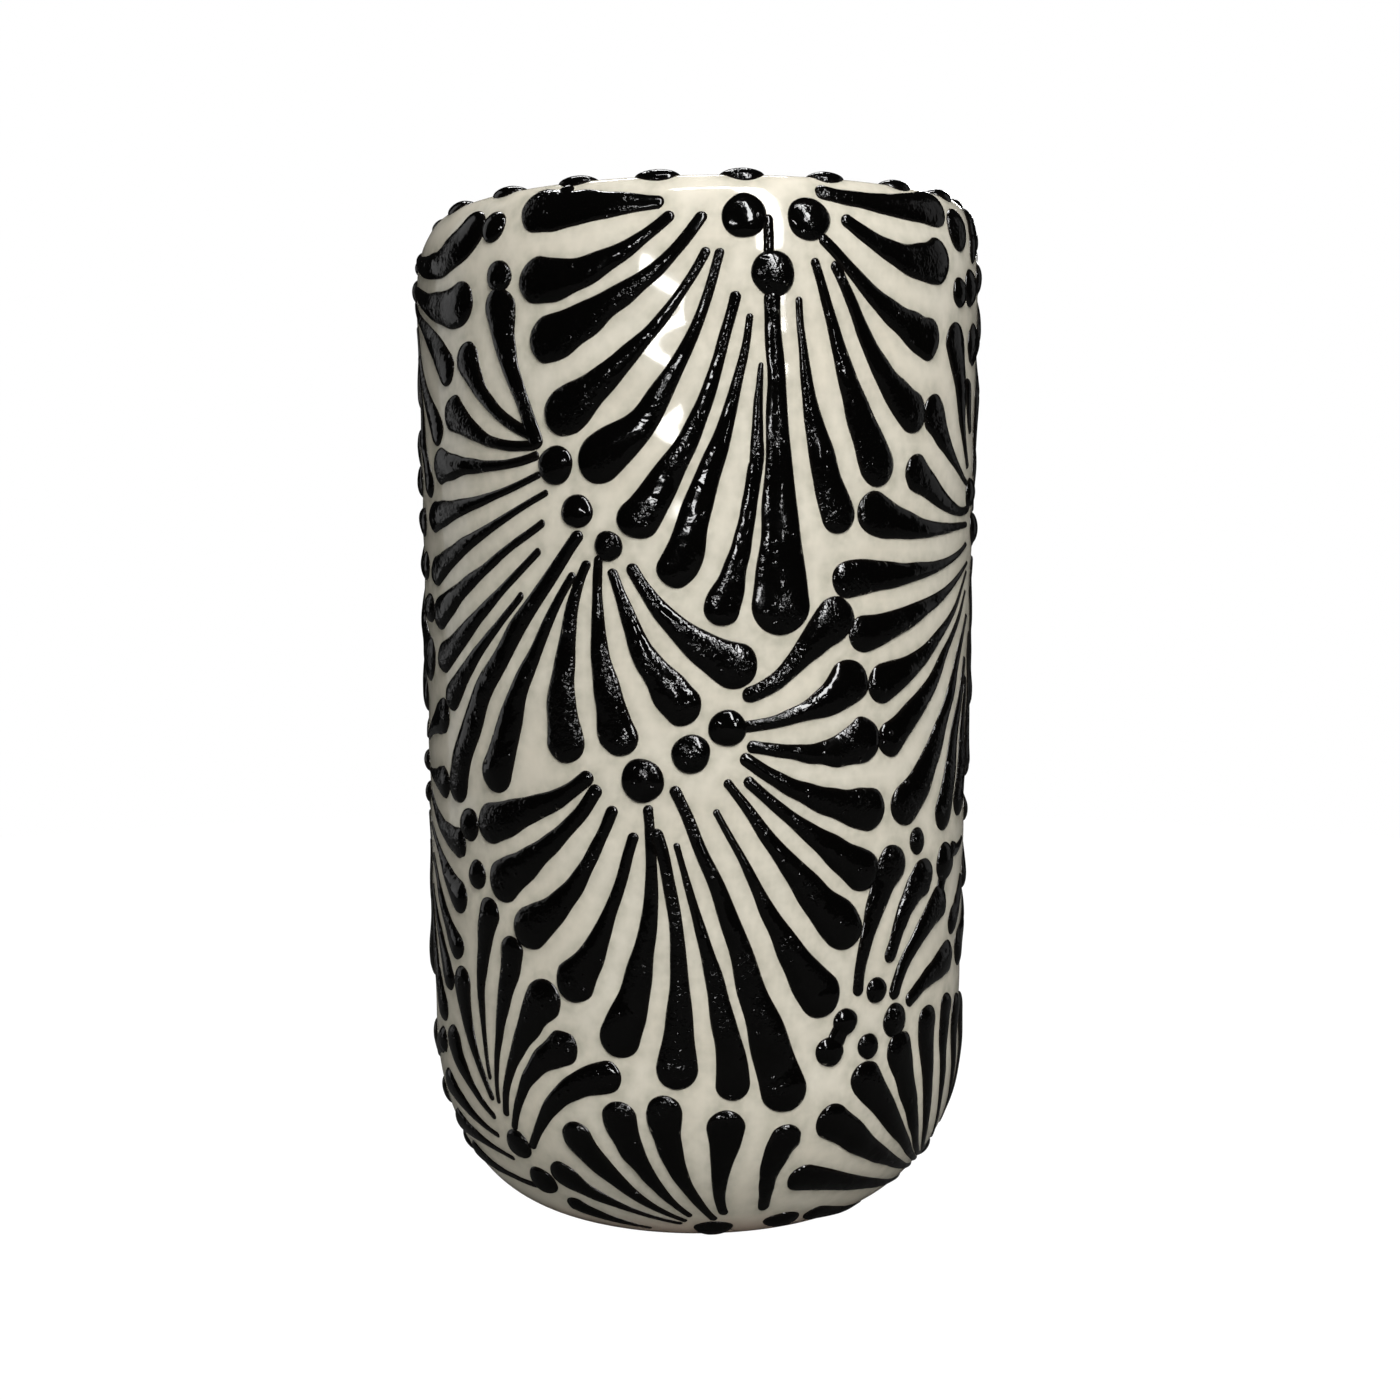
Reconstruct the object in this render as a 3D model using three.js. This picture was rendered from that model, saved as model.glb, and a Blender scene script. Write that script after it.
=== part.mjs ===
import * as THREE from 'three';

// A talavera cylinder vase: a thrown clay wall, a coat of glaze over it, and raised
// black enamel dots. Millimetres, +Z up, the origin at the middle of the foot.
// Angles run round the vase in degrees, from 0 at the front (-Y) towards +X.

const VASE_HEIGHT = 203; // glazed crown of the lip, above the table
const SHOULDER_RADIUS = 57.4; // glazed outside, where the shoulder begins
const BELLY_RADIUS = 54.9; // glazed outside, where the base corner ends
const CROWN_RADIUS = 52; // highest line of the lip
const MOUTH_RADIUS = 47.2; // narrowest glazed opening, just inside the lip
const FOOT_RADIUS = 28; // outer edge of the ring that the vase stands on
const BASE_CORNER_HEIGHT = 35;
const SHOULDER_HEIGHT = 15;
const LIP_INSIDE_DROP = 4.5;

const INSIDE_TOP_RADIUS = 49.4; // glazed inside, below the lip's inner roll
const INSIDE_TOP_DROP = 22; // how far below the crown the roll ends
const INSIDE_LOW_RADIUS = 46.8; // glazed inside, where the floor corner begins
const FLOOR_RADIUS = 22; // flat part of the floor
const FLOOR_HEIGHT = 10;
const FLOOR_CORNER_HEIGHT = 28;

const GLAZE_THICKNESS = 0.6;
const FIT_GAP = 0.3; // left between pieces that touch
const CLAY_DEPTH = GLAZE_THICKNESS + FIT_GAP; // clay surface, below the glaze surface
const FOOT_RECESS_RADIUS = 21;
const FOOT_RECESS_DEPTH = 1.5;
const FOOT_RECESS_SLOPE = 1;
const BARE_FOOT_TURN = 17; // degrees of the base corner left without glaze

const RIM_DOT_COUNT = 20;
const RIM_DOT_START = -80; // degrees
const RIM_DOT_RADIUS = 3.3;
const RIM_DOT_LIFT = 80; // degrees that a rim dot's face turns up from level
const DOT_HEIGHT = 1.25;

const WALL_SEGMENTS = 36;
const DOT_SEGMENTS = 8;
const BASE_CORNER_STEPS = 6;
const SHOULDER_STEPS = 5;
const LIP_INSIDE_STEPS = 3;
const FLOOR_CORNER_STEPS = 4;
const QUARTER_TURN = Math.PI / 2;

// The dots at the eyes of the painted fans: [degrees round the vase, height, radius].
const EYES = {
  crown: [[8.6, 195.1, 3.9], [20.9, 194.8, 4], [13.9, 184.9, 4.1]],
  left: [[-27.2, 151.1, 3.7], [-22.8, 142.6, 3.3], [-16.6, 136.2, 2.8]],
  middle: [[-10.3, 93.2, 4], [-1.1, 98.2, 3.5], [5.8, 102.9, 3.4]],
  right: [[73.2, 146.3, 3.1], [78.8, 139.5, 3.2]],
  high_right: [[62.4, 196.2, 4.1], [62, 184.5, 3], [68.7, 186, 3.7]],
  low_left: [[-52.3, 82.2, 3.2], [-50, 72.6, 2.8]],
  foot_left: [[-41.6, 20.4, 3.1], [-37.8, 13.1, 3]],
  low_right: [[38.4, 51.6, 2.5], [36.4, 41, 2.5], [43.6, 45, 3.2]],
};

// These fans are painted again half way round the vase.
const BACK_FANS = ['crown', 'left', 'middle', 'low_right'];

const clayMaterial = new THREE.MeshStandardMaterial({
  color: 0xb98a6a,
  roughness: 0.85,
  metalness: 0,
});

const glazeMaterial = new THREE.MeshStandardMaterial({
  color: 0xefeadd,
  roughness: 0.12,
  metalness: 0,
});

const enamelMaterial = new THREE.MeshStandardMaterial({
  color: 0x0b0a09,
  roughness: 0.18,
  metalness: 0,
});

const vase = new THREE.Group();

// Points on a quarter of an ellipse in the (radius, height) plane. fromTurn and toTurn
// are in radians, 0 pointing away from the axis and a quarter turn pointing up.
function arcPoints(centre, radii, fromTurn, toTurn, steps) {
  return Array.from({ length: steps + 1 }, (_, step) => {
    const turn = THREE.MathUtils.lerp(fromTurn, toTurn, step / steps);
    const radius = centre[0] + radii[0] * Math.cos(turn);
    const height = centre[1] + radii[1] * Math.sin(turn);
    return new THREE.Vector2(radius, height);
  });
}

// The vase's section from the foot, up the outside, over the lip and down to the middle
// of the floor, at a depth below the glaze. bareTurn leaves out the start of the corner.
function sectionPoints(depth, bareTurn) {
  const baseCorner = arcPoints(
    [FOOT_RADIUS, BASE_CORNER_HEIGHT],
    [BELLY_RADIUS - FOOT_RADIUS - depth, BASE_CORNER_HEIGHT - depth],
    bareTurn - QUARTER_TURN,
    0,
    BASE_CORNER_STEPS,
  );
  const shoulder = arcPoints(
    [CROWN_RADIUS, VASE_HEIGHT - SHOULDER_HEIGHT],
    [SHOULDER_RADIUS - CROWN_RADIUS - depth, SHOULDER_HEIGHT - depth],
    0,
    QUARTER_TURN,
    SHOULDER_STEPS,
  );
  const lipInside = arcPoints(
    [CROWN_RADIUS, VASE_HEIGHT - LIP_INSIDE_DROP],
    [CROWN_RADIUS - MOUTH_RADIUS - depth, LIP_INSIDE_DROP - depth],
    QUARTER_TURN,
    2 * QUARTER_TURN,
    LIP_INSIDE_STEPS,
  ).slice(1);
  const underLip = new THREE.Vector2(INSIDE_TOP_RADIUS + depth, VASE_HEIGHT - INSIDE_TOP_DROP);
  const floorCorner = arcPoints(
    [FLOOR_RADIUS, FLOOR_HEIGHT + FLOOR_CORNER_HEIGHT],
    [INSIDE_LOW_RADIUS - FLOOR_RADIUS + depth, FLOOR_CORNER_HEIGHT + depth],
    0,
    -QUARTER_TURN,
    FLOOR_CORNER_STEPS,
  );
  const floorMiddle = new THREE.Vector2(0, FLOOR_HEIGHT - depth);
  return [...baseCorner, ...shoulder, ...lipInside, underLip, ...floorCorner, floorMiddle];
}

// Turns a section about the vase's axis, which LatheGeometry keeps along Y.
function turnedSolid(points, segments) {
  const geometry = new THREE.LatheGeometry(points, segments);
  geometry.rotateX(QUARTER_TURN);
  return geometry;
}

function addPiece(name, geometry, material) {
  const piece = new THREE.Mesh(geometry, material);
  piece.name = name;
  vase.add(piece);
  return piece;
}

// The thrown and turned clay: wall, floor and a bare foot ring round a shallow recess.
function addClayBody() {
  const foot = [
    new THREE.Vector2(0, FOOT_RECESS_DEPTH),
    new THREE.Vector2(FOOT_RECESS_RADIUS, FOOT_RECESS_DEPTH),
    new THREE.Vector2(FOOT_RECESS_RADIUS + FOOT_RECESS_SLOPE, 0),
    new THREE.Vector2(FOOT_RADIUS, 0),
  ];
  const section = [...foot, ...sectionPoints(CLAY_DEPTH, 0)];
  addPiece('clay_body', turnedSolid(section, WALL_SEGMENTS), clayMaterial);
}

// The glaze: one skin from just above the foot, over the lip and across the floor.
function addGlazeCoat() {
  const bareTurn = THREE.MathUtils.degToRad(BARE_FOOT_TURN);
  const claySide = sectionPoints(GLAZE_THICKNESS, bareTurn).reverse();
  const openSide = sectionPoints(0, bareTurn);
  const skin = turnedSolid([...claySide, ...openSide], WALL_SEGMENTS);
  addPiece('glaze_coat', skin, glazeMaterial);
}

// A dome of enamel standing on its flat side, its top along +Z.
function domeGeometry(radius) {
  const waist = QUARTER_TURN / 2;
  const section = [
    new THREE.Vector2(0, 0),
    new THREE.Vector2(radius, 0),
    new THREE.Vector2(radius * Math.cos(waist), DOT_HEIGHT * Math.sin(waist)),
    new THREE.Vector2(0, DOT_HEIGHT),
  ];
  return turnedSolid(section, DOT_SEGMENTS);
}

// Stands a dome on the glaze. lift is the angle of the glaze's face above level, radians.
function addDot(name, degreesRound, radiusFromAxis, height, lift, dotRadius) {
  const turn = THREE.MathUtils.degToRad(degreesRound);
  const outward = new THREE.Vector3(Math.sin(turn), -Math.cos(turn), 0);
  const facing = outward.clone().multiplyScalar(Math.cos(lift));
  facing.z = Math.sin(lift);
  const dot = addPiece(name, domeGeometry(dotRadius), enamelMaterial);
  dot.quaternion.setFromUnitVectors(new THREE.Vector3(0, 0, 1), facing);
  dot.position.copy(outward).multiplyScalar(radiusFromAxis).setZ(height);
  dot.position.addScaledVector(facing, FIT_GAP);
}

// Radius and lift of the glazed outside at a height, on its three stretches.
function outsideAt(height) {
  const shoulderStart = VASE_HEIGHT - SHOULDER_HEIGHT;
  if (height > shoulderStart) {
    const reach = SHOULDER_RADIUS - CROWN_RADIUS;
    const turn = Math.asin((height - shoulderStart) / SHOULDER_HEIGHT);
    const lift = Math.atan2(reach * Math.sin(turn), SHOULDER_HEIGHT * Math.cos(turn));
    return { radius: CROWN_RADIUS + reach * Math.cos(turn), lift };
  }
  if (height < BASE_CORNER_HEIGHT) {
    const reach = BELLY_RADIUS - FOOT_RADIUS;
    const turn = Math.asin((height - BASE_CORNER_HEIGHT) / BASE_CORNER_HEIGHT);
    const lift = Math.atan2(reach * Math.sin(turn), BASE_CORNER_HEIGHT * Math.cos(turn));
    return { radius: FOOT_RADIUS + reach * Math.cos(turn), lift };
  }
  const rise = shoulderStart - BASE_CORNER_HEIGHT;
  const share = (height - BASE_CORNER_HEIGHT) / rise;
  const radius = THREE.MathUtils.lerp(BELLY_RADIUS, SHOULDER_RADIUS, share);
  return { radius, lift: -Math.atan2(SHOULDER_RADIUS - BELLY_RADIUS, rise) };
}

function twoDigits(number) {
  return String(number).padStart(2, '0');
}

// A ring of dots on the crown of the lip, each tipped slightly outwards.
function addRimDots() {
  const lift = THREE.MathUtils.degToRad(RIM_DOT_LIFT);
  const reach = SHOULDER_RADIUS - CROWN_RADIUS;
  const turn = Math.atan2(Math.sin(lift) * SHOULDER_HEIGHT, Math.cos(lift) * reach);
  const radius = CROWN_RADIUS + reach * Math.cos(turn);
  const height = VASE_HEIGHT - SHOULDER_HEIGHT * (1 - Math.sin(turn));
  for (let index = 0; index < RIM_DOT_COUNT; index += 1) {
    const degreesRound = RIM_DOT_START + (index * 360) / RIM_DOT_COUNT;
    addDot(`rim_dot_${twoDigits(index + 1)}`, degreesRound, radius, height, lift, RIM_DOT_RADIUS);
  }
}

function addEyeDots(prefix, fan, halfTurn) {
  EYES[fan].forEach(([degreesRound, height, dotRadius], index) => {
    const { radius, lift } = outsideAt(height);
    const name = `${prefix}${fan}_eye_${index + 1}`;
    addDot(name, degreesRound + halfTurn, radius, height, lift, dotRadius);
  });
}

addClayBody();
addGlazeCoat();
addRimDots();
Object.keys(EYES).forEach((fan) => addEyeDots('', fan, 0));
BACK_FANS.forEach((fan) => addEyeDots('back_', fan, 180));

export default vase;
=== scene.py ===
import math

import bpy
import numpy as np
from mathutils import Matrix, Vector


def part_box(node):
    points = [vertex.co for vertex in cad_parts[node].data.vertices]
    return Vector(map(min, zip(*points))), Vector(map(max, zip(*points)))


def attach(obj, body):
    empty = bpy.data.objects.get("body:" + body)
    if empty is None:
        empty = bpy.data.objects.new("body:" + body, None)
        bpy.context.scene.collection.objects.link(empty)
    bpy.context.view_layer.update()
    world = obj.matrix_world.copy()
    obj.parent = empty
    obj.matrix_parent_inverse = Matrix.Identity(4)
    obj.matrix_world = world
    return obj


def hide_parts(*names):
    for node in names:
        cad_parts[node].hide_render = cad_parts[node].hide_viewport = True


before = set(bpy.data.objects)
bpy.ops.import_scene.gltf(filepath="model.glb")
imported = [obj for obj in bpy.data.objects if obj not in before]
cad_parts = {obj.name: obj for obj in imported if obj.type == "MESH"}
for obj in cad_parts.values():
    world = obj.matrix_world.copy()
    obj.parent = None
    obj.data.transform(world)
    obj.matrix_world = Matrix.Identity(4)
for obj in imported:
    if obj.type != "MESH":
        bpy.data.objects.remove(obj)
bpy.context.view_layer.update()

print("frame loaded:", len(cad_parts), "nodes")

# Lengths below are millimetres until putMesh turns them into metres. Angles run round
# the vase in degrees, 0 at the front (-Y) and growing towards +X, as in the frame.
mm = 0.001

# the glaze's box in the frame gives the vase's height and its widest radius
glazeHigh = np.array(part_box("glaze_coat")[1]) / mm

vaseShape = {
    "height": glazeHigh[2],       # crown of the lip
    "shoulderRadius": glazeHigh[0],
    "shoulderHeight": 15.0,       # how far below the crown the shoulder starts
    "bellyRadius": 54.9,          # where the base corner ends
    "cornerHeight": 35.0,
    "footRadius": 28.0,
    "crownRadius": 52.0,
    "mouthRadius": 47.2,
    "lipDrop": 4.5,
    "insideTopRadius": 49.4,
    "insideTopDrop": 22.0,
    "insideLowRadius": 46.8,
    "floorRadius": 22.0,
    "floorHeight": 10.0,
    "floorCornerHeight": 28.0,
    "bareFootTurn": 14.0,         # degrees of the base corner left bare
    "recessRadius": 21.0,
    "recessDepth": 1.5,
    "glazeDepth": 0.6,
    "bulge": 0.1,                 # how much fuller the wall is than a straight line
}

# how far the thrower's hand strays from a true turned shape
handThrow = {
    "rimTilt": 0.014,             # the lip stands a little higher on the +X side
    "lean": 0.12,                 # the mouth stands a little towards +X
    "lipDips": ((-100, 38, -2.5), (95, 32, 1.3)),  # degrees, width, mm up: where the lip sags or rises
    "baseSwell": 0.5,             # the base is fuller towards +X
    "throwRings": 0.10,           # soft rings left by the fingers
    "lobes": 0.22,                # slow unevenness round the wall
}


def arcPoints(centre, radii, fromDegrees, toDegrees, count):
    # quarter of an ellipse: centre + radii * (cos, sin) of an evenly stepped angle
    turn = np.radians(np.linspace(fromDegrees, toDegrees, count))
    return np.column_stack((centre[0] + radii[0] * np.cos(turn), centre[1] + radii[1] * np.sin(turn)))


def sectionLine(depth, bareTurn, steps):
    # (radius, height) from the foot, up the outside, over the lip and down to the floor's
    # middle, at a depth under the glaze; steps is the spacing of the points on the wall
    v = vaseShape
    top = v["height"] - v["shoulderHeight"]
    corner = arcPoints((v["footRadius"], v["cornerHeight"]),
                       (v["bellyRadius"] - v["footRadius"] - depth, v["cornerHeight"] - depth),
                       bareTurn - 90, 0, int(46 / steps) + 4)
    rise = np.linspace(0, 1, int((top - v["cornerHeight"]) / steps))[1:-1]
    wallRadius = v["bellyRadius"] + (v["shoulderRadius"] - v["bellyRadius"]) * rise
    wallRadius += 4 * v["bulge"] * rise * (1 - rise)
    wall = np.column_stack((wallRadius - depth, v["cornerHeight"] + (top - v["cornerHeight"]) * rise))
    shoulder = arcPoints((v["crownRadius"], top),
                         (v["shoulderRadius"] - v["crownRadius"] - depth, v["shoulderHeight"] - depth),
                         0, 90, int(17 / steps) + 8)
    lip = arcPoints((v["crownRadius"], v["height"] - v["lipDrop"]),
                    (v["crownRadius"] - v["mouthRadius"] - depth, v["lipDrop"] - depth), 90, 180, 8)[1:]
    drop = np.linspace(0, 1, int(130 / (steps * 2.5)))[1:-1]
    easing = 1 - (1 - np.clip(drop * 5, 0, 1)) ** 2
    innerRadius = (v["mouthRadius"] + (v["insideTopRadius"] - v["mouthRadius"]) * easing
                   + (v["insideLowRadius"] - v["insideTopRadius"]) * drop)
    innerTop = v["height"] - v["lipDrop"]
    innerLow = v["floorHeight"] + v["floorCornerHeight"]
    inner = np.column_stack((innerRadius + depth, innerTop + (innerLow - innerTop) * drop))
    floorCorner = arcPoints((v["floorRadius"], innerLow),
                            (v["insideLowRadius"] - v["floorRadius"] + depth,
                             v["floorCornerHeight"] + depth),
                            0, -90, int(40 / (steps * 2)) + 4)
    floorIn = np.linspace(1, 0, 7)[1:]
    floor = np.column_stack((v["floorRadius"] * floorIn, np.full(6, v["floorHeight"] - depth)))
    return np.vstack((corner, wall, shoulder, lip, inner, floorCorner, floor))


def smoothNoise(seed, count, waves):
    # a slow random line: a few cosines with random phases, about -1 to 1
    rng = np.random.default_rng(seed)
    u = np.linspace(0, 1, count)
    k = np.arange(1, waves + 1)
    phase = rng.uniform(0, 2 * np.pi, waves)
    weight = rng.normal(0, 1, waves) / np.sqrt(waves)
    return (weight[:, None] * np.cos(np.pi * k[:, None] * u[None, :] + phase[:, None])).sum(0)


def handThrown(points):
    # moves true turned points to where the thrower's hand left them: radius plus slow waves,
    # height plus a tilt and a bump or sag of the lip; clay, glaze and enamel move together
    h = handThrow
    x, y, z = points[:, 0], points[:, 1], points[:, 2]
    radius = np.maximum(np.hypot(x, y), 1e-6)
    angle = np.arctan2(x, -y)
    up = np.clip(z / vaseShape["height"], 0, 1)
    slow = np.sin(2 * angle + 0.6 + 2 * up) * 0.6 + np.sin(3 * angle + 5 * up) * 0.4
    push = h["lobes"] * slow * np.sin(np.pi * up) ** 0.5
    onWall = np.clip((z - 20) / 30, 0, 1) * np.clip((195 - z) / 20, 0, 1)
    push += h["throwRings"] * np.sin(z * 0.42 + 0.8 * np.sin(angle)) * onWall
    onBase = np.exp(-((z - 20) / 16) ** 2) * np.clip((z - 3) / 10, 0, 1)
    push += h["baseSwell"] * np.sin(angle + 0.2) * onBase
    push *= np.clip((radius - 20) / 20, 0, 1)
    grow = 1 + push / radius
    moved = points.copy()
    moved[:, 0] = x * grow
    moved[:, 1] = y * grow
    moved[:, 2] = z + h["rimTilt"] * x * up ** 3 + 0.12 * np.sin(3 * angle + 1.0) * up ** 6
    onLip = np.clip((z - 188) / 12, 0, 1) ** 1.5
    for middle, width, rise in h["lipDips"]:
        away = (np.degrees(angle) - middle + 180) % 360 - 180
        moved[:, 2] += rise * np.exp(-(away / width) ** 2) * onLip
    moved[:, 0] += h["lean"] * up ** 4
    return moved


def putMesh(name, points, quads, triangles, material):
    # points in mm become a mesh in metres, its faces given as whole arrays
    mesh = bpy.data.meshes.new(name)
    points = handThrown(points) * mm
    quads = np.asarray(quads, dtype=np.int32).reshape(-1, 4)
    triangles = np.asarray(triangles, dtype=np.int32).reshape(-1, 3)
    mesh.vertices.add(len(points))
    mesh.vertices.foreach_set("co", points.astype(np.float32).ravel())
    corners = np.concatenate((quads.ravel(), triangles.ravel()))
    mesh.loops.add(len(corners))
    mesh.loops.foreach_set("vertex_index", corners)
    quadStarts = np.arange(len(quads)) * 4
    starts = np.concatenate((quadStarts, len(quads) * 4 + np.arange(len(triangles)) * 3))
    mesh.polygons.add(len(starts))
    mesh.polygons.foreach_set("loop_start", starts.astype(np.int32))
    mesh.polygons.foreach_set("use_smooth", np.full(len(starts), True))
    mesh.update(calc_edges=True)
    mesh.validate()
    mesh.materials.append(material)
    piece = bpy.data.objects.new(name, mesh)
    bpy.context.scene.collection.objects.link(piece)
    return piece


def addVertexValue(piece, name, values):
    # one number for each point of the piece, which its material reads by name
    layer = piece.data.attributes.new(name, "FLOAT", "POINT")
    layer.data.foreach_set("value", np.asarray(values, dtype=np.float32))


def gridQuads(ringCount, around, first):
    # faces between rings of points that close on themselves, the first point numbered first
    rows = np.arange(ringCount - 1)[:, None] * around + first
    here = np.arange(around)[None, :]
    beside = (here + 1) % around
    corners = (rows + here, rows + beside, rows + around + beside, rows + around + here)
    return np.stack(corners, -1).reshape(-1, 4), here[0], beside[0]


def turnedMesh(section, columns):
    # carries a section that starts and ends on the axis round it: rows of the section by
    # columns round, with a single pole point at each end
    rings = section[1:-1]
    turn = np.linspace(0, 2 * np.pi, columns, endpoint=False)
    grid = np.empty((len(rings), columns, 3))
    grid[:, :, 0] = rings[:, :1] * np.sin(turn)
    grid[:, :, 1] = -rings[:, :1] * np.cos(turn)
    grid[:, :, 2] = rings[:, 1:]
    poles = [[0, 0, section[0, 1]], [0, 0, section[-1, 1]]]
    points = np.vstack((grid.reshape(-1, 3), poles))
    quads, here, beside = gridQuads(len(rings), columns, 0)
    startPole = len(rings) * columns
    last = startPole - columns
    startFan = np.stack((np.full(columns, startPole), beside, here), -1)
    endFan = np.stack((np.full(columns, startPole + 1), last + here, last + beside), -1)
    return points, quads, np.vstack((startFan, endFan))


# the glazed outside as a function of length along its section, from the foot to the mouth
outline = sectionLine(0, 0, 0.5)
crownPoint = int(np.argmax(outline[:, 1]))
mouthPoint = crownPoint + int(np.argmin(outline[crownPoint:crownPoint + 12, 0]))
outline = outline[:mouthPoint + 1]
outlineLength = np.concatenate(([0], np.cumsum(np.hypot(*np.diff(outline, axis=0).T))))
outlineSlope = np.gradient(outline, outlineLength, axis=0)
crownLength = outlineLength[crownPoint]


def lengthAtHeight(height):
    # length along the section at a height; up to the crown the outline only climbs
    return np.interp(height, outline[:crownPoint + 1, 1], outlineLength[:crownPoint + 1])


def onGlaze(angle, length, lift):
    # point lift mm above the glaze: the section's point, pushed out along its normal,
    # which is the section's direction turned a quarter clockwise
    radius = np.interp(length, outlineLength, outline[:, 0])
    height = np.interp(length, outlineLength, outline[:, 1])
    slopeRadius = np.interp(length, outlineLength, outlineSlope[:, 0])
    slopeHeight = np.interp(length, outlineLength, outlineSlope[:, 1])
    norm = np.hypot(slopeRadius, slopeHeight)
    radius = radius + lift * slopeHeight / norm
    height = height - lift * slopeRadius / norm
    return np.stack((radius * np.sin(angle), -radius * np.cos(angle), height), -1)


def newMaterial(name):
    # an empty material with one shader joined to its output
    material = bpy.data.materials.new(name)
    material.use_nodes = True
    nodes = material.node_tree.nodes
    nodes.clear()
    output = nodes.new("ShaderNodeOutputMaterial")
    shader = nodes.new("ShaderNodeBsdfPrincipled")
    material.node_tree.links.new(shader.outputs[0], output.inputs[0])
    return material, shader


def addNode(material, kind, settings=(), links=()):
    # one node, its settings by name or socket, and what feeds each of its sockets
    node = material.node_tree.nodes.new(kind)
    for key, value in dict(settings).items():
        if isinstance(key, str) and hasattr(node, key):
            setattr(node, key, value)
        else:
            node.inputs[key].default_value = value
    for key, source in dict(links).items():
        material.node_tree.links.new(source, node.inputs[key])
    return node


def objectPlace(material):
    # where each point is on the object, so that a pattern stays with it
    return addNode(material, "ShaderNodeTexCoord").outputs["Object"]


def attribute(material, name):
    # the number that addVertexValue stored under this name
    return addNode(material, "ShaderNodeAttribute", {"attribute_name": name}).outputs["Fac"]


def noise(material, place, scale, detail, **more):
    # smooth random patches about 1 / scale metres across
    settings = {"Scale": scale, "Detail": detail, **more}
    return addNode(material, "ShaderNodeTexNoise", settings, {"Vector": place}).outputs["Fac"]


def calculate(material, operation, *values, **more):
    # one sum: each value is a socket or a plain number
    numbers = {i: v for i, v in enumerate(values) if not isinstance(v, bpy.types.NodeSocket)}
    sockets = {i: v for i, v in enumerate(values) if isinstance(v, bpy.types.NodeSocket)}
    settings = {"operation": operation, **more, **numbers}
    return addNode(material, "ShaderNodeMath", settings, sockets).outputs[0]


def remap(material, source, fromLow, fromHigh, toLow=0.0, toHigh=1.0, **more):
    # stretches fromLow..fromHigh onto toLow..toHigh, and holds at the ends
    settings = {"From Min": fromLow, "From Max": fromHigh, "To Min": toLow, "To Max": toHigh, **more}
    return addNode(material, "ShaderNodeMapRange", settings, {"Value": source}).outputs[0]


def scatteredCells(material, place, scale, rarity):
    # how far each point is from its cell's middle, and whether that cell is a rare one
    cells = addNode(material, "ShaderNodeTexVoronoi", {"Scale": scale}, {"Vector": place})
    pick = addNode(material, "ShaderNodeSeparateColor", links={"Color": cells.outputs["Color"]})
    return cells.outputs["Distance"], calculate(material, "GREATER_THAN", pick.outputs[0], rarity)


def bumpFrom(material, shader, height, strength, distance):
    # dents the shader's surface by height, distance metres from lowest to highest
    settings = {"Strength": strength, "Distance": distance}
    bump = addNode(material, "ShaderNodeBump", settings, {"Height": height})
    material.node_tree.links.new(bump.outputs[0], shader.inputs["Normal"])


def colourRamp(material, source, stops):
    # blends from each stop's colour to the next as source passes its place
    node = addNode(material, "ShaderNodeValToRGB", links={"Fac": source})
    ramp = node.color_ramp
    while len(ramp.elements) < len(stops):
        ramp.elements.new(0.5)
    for element, (place, colour) in zip(ramp.elements, stops):
        element.position = place
        element.color = (*colour, 1)
    return node.outputs[0]


def mixColour(material, factor, first, second):
    # from first to second by factor; the colours are sockets or plain values
    node = material.node_tree.nodes.new("ShaderNodeMix")
    node.data_type = "RGBA"
    material.node_tree.links.new(factor, node.inputs[0])
    for socket, colour in ((node.inputs[6], first), (node.inputs[7], second)):
        if isinstance(colour, bpy.types.NodeSocket):
            material.node_tree.links.new(colour, socket)
        else:
            socket.default_value = (*colour, 1)
    return node.outputs[2]


glazeLook = {
    "ivory": (0.760, 0.715, 0.610),
    "warmPatch": (0.735, 0.672, 0.555),
    "paintedShade": (0.50, 0.475, 0.385),      # painted contact shade on the glaze round each mark
    "speck": (0.10, 0.085, 0.065),
    "clayTint": (0.60, 0.46, 0.37),    # thin glaze over the clay near the foot
    "roughness": (0.04, 0.11),         # its smoothest and its roughest
    "depth": 0.00022,                  # metres of unevenness
}


def makeGlazeMaterial():
    # cloudy ivory, darkened by painted contact shade round each mark, warmed where it is thin, and specked
    look = glazeLook
    material, shader = newMaterial("ivoryGlaze")
    place = objectPlace(material)
    cloud = noise(material, place, 38.0, 4.0, Roughness=0.6)
    base = mixColour(material, remap(material, cloud, 0.35, 0.75), look["ivory"], look["warmPatch"])
    grain = noise(material, place, 420.0, 2.0)
    # painted shade: the glaze colour is darkened towards the edge of each black mark
    paintedShadeGrain = calculate(material, "MULTIPLY", attribute(material, "paintedShade"), grain)
    paintedShadeFactor = calculate(material, "MULTIPLY", paintedShadeGrain, 1.5, use_clamp=True)
    base = mixColour(material, paintedShadeFactor, base, look["paintedShade"])
    base = mixColour(material, attribute(material, "thinGlaze"), base, look["clayTint"])
    # pinholes and specks of iron: the middles of scattered cells
    fromMiddle, rare = scatteredCells(material, place, 95.0, 0.93)
    speck = calculate(material, "MULTIPLY", rare, remap(material, fromMiddle, 0.035, 0.06, 1.0, 0.0))
    base = mixColour(material, speck, base, look["speck"])
    material.node_tree.links.new(base, shader.inputs["Base Color"])
    shader.inputs["IOR"].default_value = 1.52
    rough = remap(material, noise(material, place, 60.0, 3.0), 0.0, 1.0, *look["roughness"])
    material.node_tree.links.new(rough, shader.inputs["Roughness"])
    fine = calculate(material, "MULTIPLY", noise(material, place, 900.0, 1.0), 0.012)
    height = calculate(material, "ADD", noise(material, place, 55.0, 1.0), fine)
    height = calculate(material, "ADD", height, calculate(material, "MULTIPLY", speck, -0.25))
    bumpFrom(material, shader, height, 1.0, look["depth"])
    return material


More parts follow.
